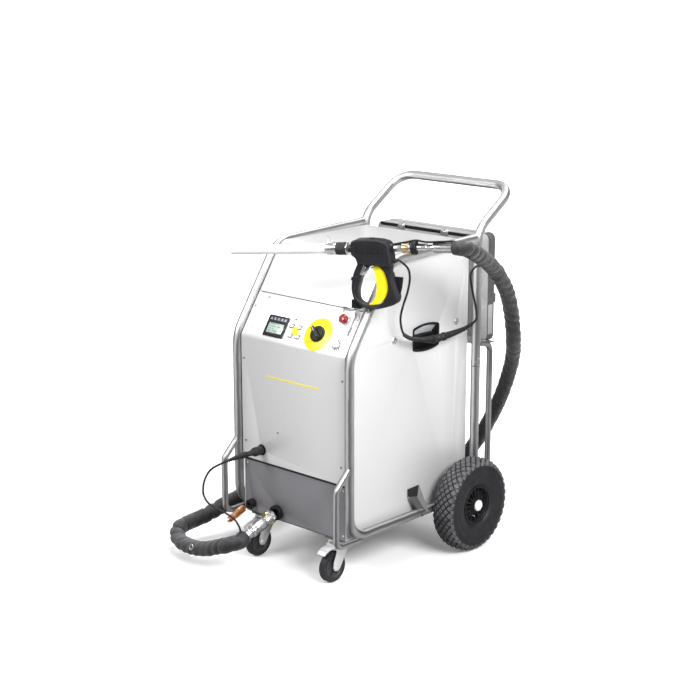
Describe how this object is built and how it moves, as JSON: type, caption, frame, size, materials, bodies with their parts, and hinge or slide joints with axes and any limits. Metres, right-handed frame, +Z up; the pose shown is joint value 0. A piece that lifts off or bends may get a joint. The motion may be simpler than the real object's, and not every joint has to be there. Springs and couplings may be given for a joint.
{
  "type": "dry ice blasting machine",
  "caption": "Mobile dry ice blasting machine: stainless casing with ice hopper in a tubular trolley frame, with push handle, rear wheels, castors, blast hose and trigger gun.",
  "frame": {"origin": "centre of the bounding box footprint, on the floor", "axes": "+Z up, -Y is the front with the operator panel, +X is the right hand side seen from the front"},
  "size_m": [1.009, 1.0498, 1.2],
  "materials": {
    "air_inlet": "black moulded plastic",
    "air_pipe": "machined brass",
    "air_valve": "machined brass",
    "base_plate": "grey painted sheet",
    "blast_hose": "black woven hose sleeve",
    "blast_pipe": "bent steel pipe",
    "bumper_tube_left": "satin bent steel tube",
    "bumper_tube_right": "satin bent steel tube",
    "case_holder": "satin bent steel tube",
    "castor_brake_left": "zinc plated steel",
    "castor_brake_right": "zinc plated steel",
    "castor_fork_left": "zinc plated steel",
    "castor_fork_right": "zinc plated steel",
    "castor_wheel_left": "dark grey rubber castor wheel",
    "castor_wheel_right": "dark grey rubber castor wheel",
    "connector_panel": "grey painted sheet",
    "control_box": "black moulded plastic",
    "display_unit": "black moulded plastic",
    "dosing_housing": "machined aluminium",
    "dosing_motor": "black painted motor body",
    "dosing_rotor": "machined aluminium",
    "earth_clamp": "copper plated clamp",
    "front_panel": "satin stainless sheet",
    "front_signal_cable": "black rubber",
    "grip_recess": "black moulded plastic",
    "gun_body": "anthracite moulded plastic",
    "gun_coupling": "machined aluminium",
    "gun_holder": "satin stainless sheet",
    "gun_lance": "machined aluminium",
    "gun_latch": "yellow moulded plastic",
    "gun_signal_cable": "black rubber",
    "gun_trigger": "yellow moulded plastic",
    "hopper_lid": "satin stainless sheet",
    "hose_coupling": "zinc plated steel",
    "hose_signal_cable": "black rubber",
    "ice_hopper": "satin stainless sheet",
    "key_1": "light grey key cap",
    "key_2": "light grey key cap",
    "key_3": "light grey key cap",
    "key_4": "light grey key cap",
    "key_switch": "zinc plated steel",
    "outlet_socket": "black moulded plastic",
    "panel_lock_front": "zinc plated steel",
    "panel_lock_rear": "zinc plated steel",
    "pressure_regulator": "machined aluminium",
    "push_handle": "satin bent steel tube",
    "rear_panel": "satin stainless sheet",
    "rim_left": "black moulded rim",
    "rim_right": "black moulded rim",
    "selector_knob": "black moulded plastic",
    "side_frame_left": "satin bent steel tube",
    "side_frame_right": "satin bent steel tube",
    "side_panel_left": "satin stainless sheet",
    "side_panel_right": "satin stainless sheet",
    "stop_button": "red mushroom button",
    "tool_case_body": "mid grey moulded case",
    "tool_case_lid": "darker grey moulded case lid",
    "tyre_left": "black rubber tyre",
    "tyre_right": "black rubber tyre",
    "wheel_axle": "zinc plated steel"
  },
  "bodies": {
    "chassis": {"air_inlet": "air_inlet", "air_pipe": "air_pipe", "air_valve": "air_valve", "base_plate": "base_plate", "blast_hose": "blast_hose", "blast_pipe": "blast_pipe", "bumper_tube_left": "bumper_tube_left", "bumper_tube_right": "bumper_tube_right", "case_holder": "case_holder", "connector_panel": "connector_panel", "control_box": "control_box", "display_unit": "display_unit", "dosing_housing": "dosing_housing", "dosing_motor": "dosing_motor", "earth_clamp": "earth_clamp", "front_panel": "front_panel", "front_signal_cable": "front_signal_cable", "grip_recess": "grip_recess", "gun_body": "gun_body", "gun_coupling": "gun_coupling", "gun_holder": "gun_holder", "gun_lance": "gun_lance", "gun_signal_cable": "gun_signal_cable", "hose_coupling": "hose_coupling", "hose_signal_cable": "hose_signal_cable", "ice_hopper": "ice_hopper", "outlet_socket": "outlet_socket", "pressure_regulator": "pressure_regulator", "push_handle": "push_handle", "rear_panel": "rear_panel", "side_frame_left": "side_frame_left", "side_frame_right": "side_frame_right", "side_panel_left": "side_panel_left", "side_panel_right": "side_panel_right", "wheel_axle": "wheel_axle"},
    "hopper_lid": {"hopper_lid": "hopper_lid"},
    "selector_knob": {"selector_knob": "selector_knob"},
    "stop_button": {"stop_button": "stop_button"},
    "key_switch": {"key_switch": "key_switch"},
    "key_1": {"key_1": "key_1"},
    "key_2": {"key_2": "key_2"},
    "key_3": {"key_3": "key_3"},
    "key_4": {"key_4": "key_4"},
    "gun_trigger": {"gun_trigger": "gun_trigger"},
    "gun_latch": {"gun_latch": "gun_latch"},
    "dosing_rotor": {"dosing_rotor": "dosing_rotor"},
    "tool_case": {"tool_case_body": "tool_case_body"},
    "tool_case_lid": {"tool_case_lid": "tool_case_lid"},
    "panel_lock_front": {"panel_lock_front": "panel_lock_front"},
    "panel_lock_rear": {"panel_lock_rear": "panel_lock_rear"},
    "wheel_left": {"rim_left": "rim_left", "tyre_left": "tyre_left"},
    "wheel_right": {"rim_right": "rim_right", "tyre_right": "tyre_right"},
    "castor_fork_left": {"castor_fork_left": "castor_fork_left"},
    "castor_wheel_left": {"castor_wheel_left": "castor_wheel_left"},
    "castor_brake_left": {"castor_brake_left": "castor_brake_left"},
    "castor_fork_right": {"castor_fork_right": "castor_fork_right"},
    "castor_wheel_right": {"castor_wheel_right": "castor_wheel_right"},
    "castor_brake_right": {"castor_brake_right": "castor_brake_right"}
  },
  "joints": [
    {"name": "lid_hinge", "type": "hinge", "parent": "chassis", "child": "hopper_lid", "pos_m": [-0.05437, 0.29497, 0.985], "axis": [-1, 0, 0], "range_deg": [0, 90]},
    {"name": "castor_swivel_left", "type": "hinge", "parent": "chassis", "child": "castor_fork_left", "pos_m": [-0.22237, -0.26503, 0.12], "axis": [0, 0, 1], "continuous": true},
    {"name": "castor_spin_left", "type": "hinge", "parent": "castor_fork_left", "child": "castor_wheel_left", "pos_m": [-0.22237, -0.30003, 0.05], "axis": [1, 0, 0], "continuous": true},
    {"name": "castor_pedal_left", "type": "hinge", "parent": "castor_fork_left", "child": "castor_brake_left", "pos_m": [-0.22237, -0.29853, 0.12], "axis": [1, 0, 0], "range_deg": [0, 14]},
    {"name": "wheel_spin_left", "type": "hinge", "parent": "chassis", "child": "wheel_left", "pos_m": [-0.36037, 0.22397, 0.158], "axis": [1, 0, 0], "continuous": true},
    {"name": "castor_swivel_right", "type": "hinge", "parent": "chassis", "child": "castor_fork_right", "pos_m": [0.11363, -0.26503, 0.12], "axis": [0, 0, 1], "continuous": true},
    {"name": "castor_spin_right", "type": "hinge", "parent": "castor_fork_right", "child": "castor_wheel_right", "pos_m": [0.11363, -0.30003, 0.05], "axis": [1, 0, 0], "continuous": true},
    {"name": "castor_pedal_right", "type": "hinge", "parent": "castor_fork_right", "child": "castor_brake_right", "pos_m": [0.11363, -0.29853, 0.12], "axis": [1, 0, 0], "range_deg": [0, 14]},
    {"name": "wheel_spin_right", "type": "hinge", "parent": "chassis", "child": "wheel_right", "pos_m": [0.25163, 0.22397, 0.158], "axis": [1, 0, 0], "continuous": true},
    {"name": "knob_turn", "type": "hinge", "parent": "chassis", "child": "selector_knob", "pos_m": [0.03363, -0.27512, 0.79], "axis": [0, -0.8331, 0.5531], "range_deg": [-135, 135]},
    {"name": "stop_press", "type": "slide", "parent": "chassis", "child": "stop_button", "axis": [0, 0.8331, -0.5531], "range_m": [0, 0.005]},
    {"name": "key_switch_turn", "type": "hinge", "parent": "chassis", "child": "key_switch", "pos_m": [0.12463, -0.28707, 0.772], "axis": [0, -0.8331, 0.5531], "range_deg": [0, 90]},
    {"name": "key_1_press", "type": "slide", "parent": "chassis", "child": "key_1", "axis": [0, 0.8331, -0.5531], "range_m": [0, 0.0012]},
    {"name": "key_2_press", "type": "slide", "parent": "chassis", "child": "key_2", "axis": [0, 0.8331, -0.5531], "range_m": [0, 0.0012]},
    {"name": "key_3_press", "type": "slide", "parent": "chassis", "child": "key_3", "axis": [0, 0.8331, -0.5531], "range_m": [0, 0.0012]},
    {"name": "key_4_press", "type": "slide", "parent": "chassis", "child": "key_4", "axis": [0, 0.8331, -0.5531], "range_m": [0, 0.0012]},
    {"name": "trigger_pull", "type": "hinge", "parent": "chassis", "child": "gun_trigger", "pos_m": [0.22627, -0.23298, 1.023], "axis": [0.342, -0.9397, 0], "range_deg": [0, 8]},
    {"name": "latch_release", "type": "hinge", "parent": "chassis", "child": "gun_latch", "pos_m": [0.19808, -0.24324, 1.017], "axis": [0.342, -0.9397, 0], "range_deg": [0, 15]},
    {"name": "rotor_spin", "type": "hinge", "parent": "chassis", "child": "dosing_rotor", "pos_m": [-0.05437, 0.09497, 0.45], "axis": [0, 0, 1], "continuous": true},
    {"name": "case_lift", "type": "slide", "parent": "chassis", "child": "tool_case", "axis": [0, 0, 1], "range_m": [0, 0.36]},
    {"name": "case_lid_hinge", "type": "hinge", "parent": "tool_case", "child": "tool_case_lid", "pos_m": [-0.05437, 0.43097, 0.667], "axis": [-1, 0, 0], "range_deg": [0, 90]},
    {"name": "panel_lock_front_turn", "type": "hinge", "parent": "chassis", "child": "panel_lock_front", "pos_m": [0.17413, -0.07703, 0.757], "axis": [1, 0, 0], "range_deg": [0, 90]},
    {"name": "panel_lock_rear_turn", "type": "hinge", "parent": "chassis", "child": "panel_lock_rear", "pos_m": [0.17413, 0.23097, 0.767], "axis": [1, 0, 0], "range_deg": [0, 90]}
  ]
}
